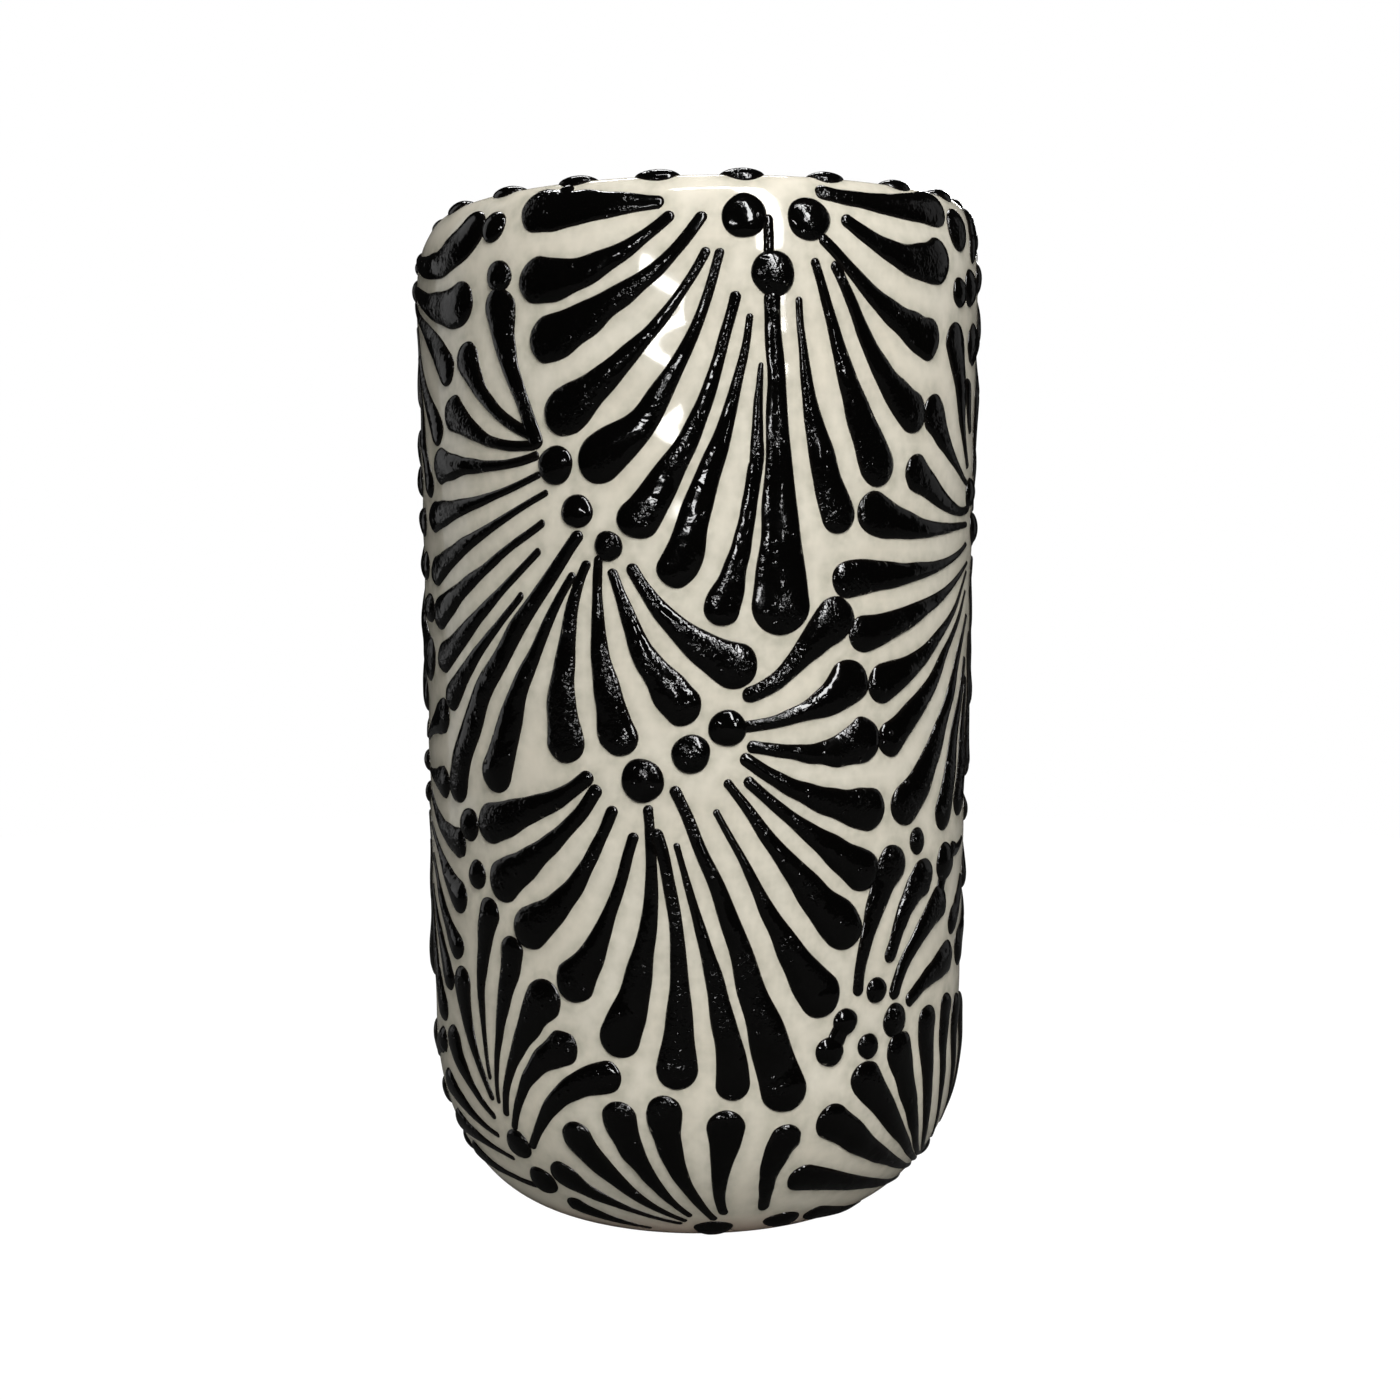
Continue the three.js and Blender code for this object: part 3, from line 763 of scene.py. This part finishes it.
def dotMesh(angleDegrees, length0, halfAcross, halfUp, seed):
    # a dome in polar rings: half an ellipse in section, its outline a slightly wavy ellipse
    ringCount, around = 12, 36
    turn = np.linspace(0, 2 * np.pi, around, endpoint=False)
    wave = 1 + 0.025 * np.cos(2 * turn + seed) + 0.018 * np.cos(3 * turn + 2.1 * seed)
    wave += 0.01 * np.cos(5 * turn + seed)
    slope = np.radians(np.linspace(0, 90, ringCount))[1:]
    rise = np.maximum(np.cos(slope), 0) ** 1.2
    reach = np.concatenate((np.sin(slope), [0.97, 0.4]))
    domeHeight = enamelHeight(min(halfAcross, halfUp)) * 1.3
    up = np.concatenate((rise * domeHeight, [-trail["sunk"], -trail["sunk"]]))
    angle0 = math.radians(angleDegrees)
    sideways = reach[:, None] * halfAcross * wave[None, :] * np.cos(turn)
    angle = angle0 + sideways / np.interp(length0, outlineLength, outline[:, 0])
    length = length0 + reach[:, None] * halfUp * wave[None, :] * np.sin(turn)
    ringPoints = onGlaze(angle, length, np.broadcast_to(up[:, None], angle.shape))
    poles = onGlaze(np.full(2, angle0), np.full(2, length0), np.array([domeHeight, -trail["sunk"]]))
    points = np.vstack((poles[:1], ringPoints.reshape(-1, 3), poles[1:]))
    quads, triangles = closedRings(len(reach), around)
    thickness = np.concatenate(([1], np.clip(np.repeat(up, around) / trail["height"], 0, 1), [0]))
    return points, quads, triangles, thickness


def joinMeshes(parts):
    # several closed marks in one mesh, their faces renumbered to follow on
    points, quads, triangles, thickness, start = [], [], [], [], 0
    for partPoints, partQuads, partTriangles, partThickness in parts:
        points.append(partPoints)
        quads.append(partQuads + start)
        triangles.append(partTriangles + start)
        thickness.append(partThickness)
        start += len(partPoints)
    return np.vstack(points), np.vstack(quads), np.vstack(triangles), np.concatenate(thickness)


marks = []          # (angle, length, half width) along every mark, for the painted shade in the glaze round them


def noteStroke(rings):
    # remembers a stroke's middle line and half widths
    marks.append(np.column_stack((rings["angle"], rings["length"], rings["half"])))


def addDot(parts, angle, length, halfAcross, halfUp, seed):
    # lays a dot and remembers its place and mean half width
    parts.append(dotMesh(angle, length, halfAcross, halfUp, seed))
    marks.append(np.array([[math.radians(angle), length, (halfAcross + halfUp) / 2]]))


def laidOut(angle, halfTurn):
    # where the hand really set a mark: the pattern is spread a little and slipped round
    return angle * layout["spread"] + layout["slip"] + halfTurn


def placedPoints(points, halfTurn, seed):
    # the back repeats the front half way round, each point strayed a little by hand
    placed = np.array(points, float)
    placed[:, 0] = laidOut(placed[:, 0], halfTurn)
    stray = layout["backStray"] if halfTurn else 0
    return placed + np.random.default_rng(seed).normal(0, stray, placed.shape)


def finishPiece(piece, slot, *nodes):
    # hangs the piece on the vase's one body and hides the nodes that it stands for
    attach(piece, "root")
    if nodes:
        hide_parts(*nodes)


def putEnamel(name, parts, *nodes):
    # one black piece out of all its marks
    points, quads, triangles, thickness = joinMeshes(parts)
    piece = putMesh(name, points, quads, triangles, blackEnamel)
    addVertexValue(piece, "thickness", thickness)
    finishPiece(piece, "enamel", *nodes)


def buildFan(name, fan, halfTurn):
    # the strokes in the order they were laid, then the small dots between them
    parts = []
    for index, (points, halfWidths) in enumerate(fan["strokes"]):
        seed = trail["seed"] * 1000 + len(marks) * 7 + index
        rings = strokeRings(placedPoints(points, halfTurn, seed), halfWidths, seed)
        parts.append(strokeMesh(rings, seed))
        noteStroke(rings)
    for index, (angle, height, halfAcross, halfUp) in enumerate(fan["dots"]):
        seed = index + len(marks)
        addDot(parts, laidOut(angle, halfTurn), lengthAtHeight(height), halfAcross, halfUp, seed)
    putEnamel(name, parts)


for fanName, fan in fans.items():
    buildFan(fanName, fan, 0)
    buildFan("back_" + fanName, fan, 180)
print("fans trailed")


eyeDots = {
    "fuller": 1.04,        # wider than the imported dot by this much
}


def cadDotPlace(node):
    # angle, height and size of a dot, read from its node's box in the frame
    low, high = (np.array(corner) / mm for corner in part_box(node))
    middle = (low + high) / 2
    angle = math.degrees(math.atan2(middle[0], -middle[1]))
    return angle, middle[2], high - low


def buildEye(eyeName, nodes, halfTurn, replaced):
    # dots where their nodes are, or half way round from them; a dot's box shows its width
    # upright on the wall, and lying down on the shoulder and the base corner
    parts = []
    shoulder = vaseShape["height"] - vaseShape["shoulderHeight"]
    for index, node in enumerate(sorted(nodes)):
        angle, height, size = cadDotPlace(node)
        onWall = vaseShape["cornerHeight"] <= height <= shoulder
        width = size[2] if onWall else np.linalg.norm(size[:2])
        radius = eyeDots["fuller"] * width / 2
        addDot(parts, angle + halfTurn, lengthAtHeight(height), radius, radius, index + len(marks))
    putEnamel(eyeName + "_dots", parts, *replaced)


def buildEyes():
    # a back eye without nodes of its own repeats the front one
    eyes = {}
    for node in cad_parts:
        if "_eye_" in node:
            eyes.setdefault(node.rsplit("_", 1)[0], []).append(node)
    for eyeName, nodes in sorted(eyes.items()):
        buildEye(eyeName, nodes, 0, nodes)
        if not eyeName.startswith("back_") and "back_" + eyeName not in eyes:
            buildEye("back_" + eyeName, nodes, 180, ())


rimDots = {
    "halfAcross": 4.0,
    "uneven": 0.2,         # mm
    "halfUp": 0.82,        # share of the half width
    "inward": 0.8,         # mm past the crown, towards the mouth
    "stray": 1.2,          # degrees
}


def buildRimDots():
    # a ring of dots on the crown of the lip, each a little out of its even place
    r = rimDots
    parts = []
    nodes = sorted(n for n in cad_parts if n.startswith("rim_dot_"))
    for index, node in enumerate(nodes):
        angle = cadDotPlace(node)[0] + r["stray"] * math.sin(index * 0.95 - 0.6)
        across = r["halfAcross"] + r["uneven"] * math.sin(index * 1.7)
        length = crownLength + r["inward"]
        parts.append(dotMesh(angle, length, across, across * r["halfUp"], index + 3))
        marks.append(np.array([[math.radians(angle), length, across]]))
    putEnamel("rim_dots", parts, *nodes)


buildEyes()
buildRimDots()
print("dots placed")


def paintedShadeAt(angle, length, inReach=2.2):
    # painted contact shade: how close each point of the glaze is to the nearest mark, 1 at its edge,
    # fading out. Works on a grid of lengths (rows) by angles (columns), one mark at a time
    paintedShade = np.zeros((len(length), len(angle)))
    radius = np.interp(length, outlineLength, outline[:, 0])
    for mark in marks:
        reach = mark[:, 2].max() + inReach * 2
        rowPick = np.where((length > mark[:, 1].min() - reach) & (length < mark[:, 1].max() + reach))[0]
        middle = (mark[:, 0].min() + mark[:, 0].max()) / 2
        away = (angle - middle + np.pi) % (2 * np.pi) - np.pi
        span = (mark[:, 0].max() - mark[:, 0].min()) / 2 + reach / 25  # 1 mm is under 1/25 radian here
        columnPick = np.where(np.abs(away) < span)[0]
        if len(rowPick) == 0 or len(columnPick) == 0:
            continue
        dAngle = angle[columnPick][None, :, None] - mark[None, None, :, 0]
        dAngle = (dAngle + np.pi) % (2 * np.pi) - np.pi
        dLength = length[rowPick][:, None, None] - mark[None, None, :, 1]
        gap = np.hypot(dAngle * radius[rowPick][:, None, None], dLength) - mark[None, None, :, 2]
        value = np.exp(-np.maximum(gap.min(-1), 0) / inReach)
        window = np.ix_(rowPick, columnPick)
        paintedShade[window] = np.maximum(paintedShade[window], value)
    return paintedShade


def buildGlaze():
    # the skin's hidden side and its open side in one section, carried round the axis
    v = vaseShape
    columns = 300
    visible = sectionLine(0, v["bareFootTurn"], 1.3)
    hidden = sectionLine(v["glazeDepth"], v["bareFootTurn"], 5.0)
    section = np.vstack((hidden[::-1], visible))
    # the two floor middles are poles, so the skin's foot edge joins hidden and visible rows
    points, quads, triangles = turnedMesh(section, columns)
    piece = putMesh("glaze_skin", points, quads, triangles, ivoryGlaze)
    rings = len(section) - 2
    hiddenRings = len(hidden) - 1
    angle = np.linspace(0, 2 * np.pi, columns, endpoint=False)
    crownRow = int(np.argmax(visible[:, 1]))
    length = lengthAtHeight(visible[:crownRow + 1, 1])
    # painted contact shade round the marks, on the visible rows up to the crown
    paintedShade = np.zeros((rings, columns))
    paintedShade[hiddenRings:hiddenRings + crownRow + 1] = paintedShadeAt(angle, length)
    thinGlaze = np.zeros((rings, columns))
    heights = visible[:crownRow + 1, 1]
    edge = 7.0 + 2.5 * np.sin(angle * 2 + 0.5) - 3.0 * np.sin(angle)
    fade = np.clip((edge[None, :] - heights[:, None]) / 6.0, 0, 1)
    thinGlaze[hiddenRings:hiddenRings + crownRow + 1] = fade
    pad = len(points) - rings * columns
    addVertexValue(piece, "paintedShade", np.concatenate((paintedShade.ravel(), np.zeros(pad))))
    addVertexValue(piece, "thinGlaze", np.concatenate((thinGlaze.ravel(), np.zeros(pad))))
    finishPiece(piece, "glaze", "glaze_coat")


def buildClay():
    # the foot ring and its recess, then the wall just under the glaze
    v = vaseShape
    foot = np.array([[0, v["recessDepth"]], [8, v["recessDepth"]], [15, v["recessDepth"]],
                     [v["recessRadius"] - 0.6, v["recessDepth"]],
                     [v["recessRadius"], v["recessDepth"] - 0.15],
                     [v["recessRadius"] + 0.9, 0.25], [v["recessRadius"] + 1.3, 0.0],
                     [v["footRadius"] - 0.8, 0.0], [v["footRadius"], 0.2]])
    depth = v["glazeDepth"] + 0.02
    wall = sectionLine(depth, 6, 3.0)
    wall[0, 1] = max(wall[0, 1], 0.3)
    section = np.vstack((foot, wall))
    points, quads, triangles = turnedMesh(section, 240)
    piece = putMesh("clay_wall", points, quads, triangles, bareClay)
    finishPiece(piece, "clay", "clay_body")


buildGlaze()
buildClay()
print("glaze and clay turned")

studio = {
    "floorColour": (0.42, 0.42, 0.41),
    "floorInGloss": 0.12,      # share of its light that the gloss sees
    "floorReach": 0.60,        # radius of the table in m; the paper behind it is as white
    "floorWhite": 0.93,        # share of the table that the camera sees as lit paper
    "ambient": 0.145,          # soft light from all round
    "surround": 0.006,         # what the gloss sees where no lamp is
    "backdrop": 1.0,
}

# each lamp: its angle round the vase, its height above the table and its distance in m, its
# width and height in m, how far it leans in its own plane, its brightness, and what sees it
lamps = {
    "keySoftbox": (13.5, 0.67, 0.62, 0.50, 0.50, 0.0, 9.9, "matt"),
    "windowLeft": (-13.0, 0.305, 1.3, 0.40, 0.080, -24.0, 20.0, "gloss"),
    "windowRight": (33.5, 0.235, 1.3, 0.045, 0.07, 0.0, 22.0, "gloss"),
    "windowRightTop": (28.0, 0.88, 1.0, 0.20, 1.05, 0.0, 20.0, "gloss"),
    "ceilingStrip": (8.0, 2.0, 1.0, 0.9, 0.10, 0.0, 26.0, "gloss"),
    "wallLeft": (-116.0, 0.35, 1.1, 0.45, 1.3, 0.0, 0.45, "gloss"),
    "wallRight": (118.0, 0.35, 1.1, 0.5, 1.0, 0.0, 0.16, "gloss"),
    "backSoftbox": (196.0, 0.70, 0.75, 0.60, 0.60, 0.0, 7.0, "matt"),
    "backWindow": (172.0, 0.36, 1.3, 0.13, 0.40, 30.0, 18.0, "gloss"),
    "backCeiling": (188.0, 1.7, 1.1, 0.9, 0.20, 0.0, 18.0, "gloss"),
}


def placeLamp(name, angle, height, distance, width, tall, lean, brightness, sees):
    # a flat lamp facing the vase's middle: side is level, up is square to side and to the
    # line of sight, and both are turned by lean
    light = bpy.data.lights.new(name, "AREA")
    light.shape = "RECTANGLE"
    light.size = width
    light.size_y = tall
    light.energy = brightness * math.pi * width * tall
    lamp = bpy.data.objects.new(name, light)
    bpy.context.scene.collection.objects.link(lamp)
    lamp.visible_glossy = sees == "gloss"
    lamp.visible_diffuse = sees == "matt"
    turn = math.radians(angle)
    place = Vector((distance * math.sin(turn), -distance * math.cos(turn), height))
    back = (place - Vector((0, 0, 0.11))).normalized()
    side = Vector((0, 0, 1)).cross(back).normalized()
    facing = Matrix((side, back.cross(side), back)).transposed()
    facing = facing @ Matrix.Rotation(math.radians(lean), 3, "Z")
    lamp.matrix_world = Matrix.Translation(place) @ facing.to_4x4()


for lampName, lampFacts in lamps.items():
    placeLamp(lampName, *lampFacts)


def buildFloor():
    # a round sheet of plain paper: its rim is a circle about the vase
    turn = np.linspace(0, 2 * np.pi, 96, endpoint=False)
    reach = studio["floorReach"]
    rim = np.column_stack((reach * np.cos(turn), reach * np.sin(turn), np.zeros(96)))
    mesh = bpy.data.meshes.new("studioFloor")
    mesh.from_pydata(rim.tolist(), [], [list(range(96))])
    material, shader = newMaterial("palePaper")
    shader.inputs["Base Color"].default_value = (*studio["floorColour"], 1)
    shader.inputs["Roughness"].default_value = 0.9
    seen = addNode(material, "ShaderNodeLightPath").outputs
    toCamera = calculate(material, "MULTIPLY", seen["Is Camera Ray"], studio["floorWhite"])
    toGloss = calculate(material, "MULTIPLY", seen["Is Glossy Ray"], 1 - studio["floorInGloss"])
    dark = addNode(material, "ShaderNodeEmission", {"Strength": 0.0}).outputs[0]
    white = addNode(material, "ShaderNodeEmission", {"Strength": 1.08}).outputs[0]
    dimmed = addNode(material, "ShaderNodeMixShader", links={0: toGloss, 1: shader.outputs[0], 2: dark})
    lit = addNode(material, "ShaderNodeMixShader", links={0: toCamera, 1: dimmed.outputs[0], 2: white})
    output = material.node_tree.nodes["Material Output"]
    material.node_tree.links.new(lit.outputs[0], output.inputs[0])
    mesh.materials.append(material)
    floor = bpy.data.objects.new("studioFloor", mesh)
    bpy.context.scene.collection.objects.link(floor)


buildFloor()


def buildWorld():
    # white to the camera, soft light to the matt glaze, and dark to the gloss
    world = bpy.data.worlds.new("studioWorld")
    bpy.context.scene.world = world
    world.use_nodes = True
    nodes = world.node_tree.nodes
    links = world.node_tree.links
    seen = nodes.new("ShaderNodeLightPath")
    forGloss = nodes.new("ShaderNodeMapRange")
    forGloss.inputs["To Min"].default_value = studio["ambient"]
    forGloss.inputs["To Max"].default_value = studio["surround"]
    forCamera = nodes.new("ShaderNodeMix")
    forCamera.inputs[3].default_value = studio["backdrop"]
    links.new(seen.outputs["Is Glossy Ray"], forGloss.inputs["Value"])
    links.new(seen.outputs["Is Camera Ray"], forCamera.inputs[0])
    links.new(forGloss.outputs[0], forCamera.inputs[2])
    links.new(forCamera.outputs[0], nodes["Background"].inputs["Strength"])
    nodes["Background"].inputs["Color"].default_value = (1, 1, 1, 1)


buildWorld()

cameraFacts = {
    "lens": 53.6,
    "place": (0.0006, -0.4355, 0.1382),
    "downward": 4.53,
}
cameraData = bpy.data.cameras.new("camera")
cameraData.lens = cameraFacts["lens"]
cameraData.sensor_width = 36
cameraData.clip_start = 0.01
camera = bpy.data.objects.new("camera", cameraData)
camera.location = cameraFacts["place"]
camera.rotation_euler = (math.radians(90 - cameraFacts["downward"]), 0, 0)
bpy.context.scene.collection.objects.link(camera)
bpy.context.scene.camera = camera
bpy.context.scene.view_settings.view_transform = "Standard"
print("studio ready")
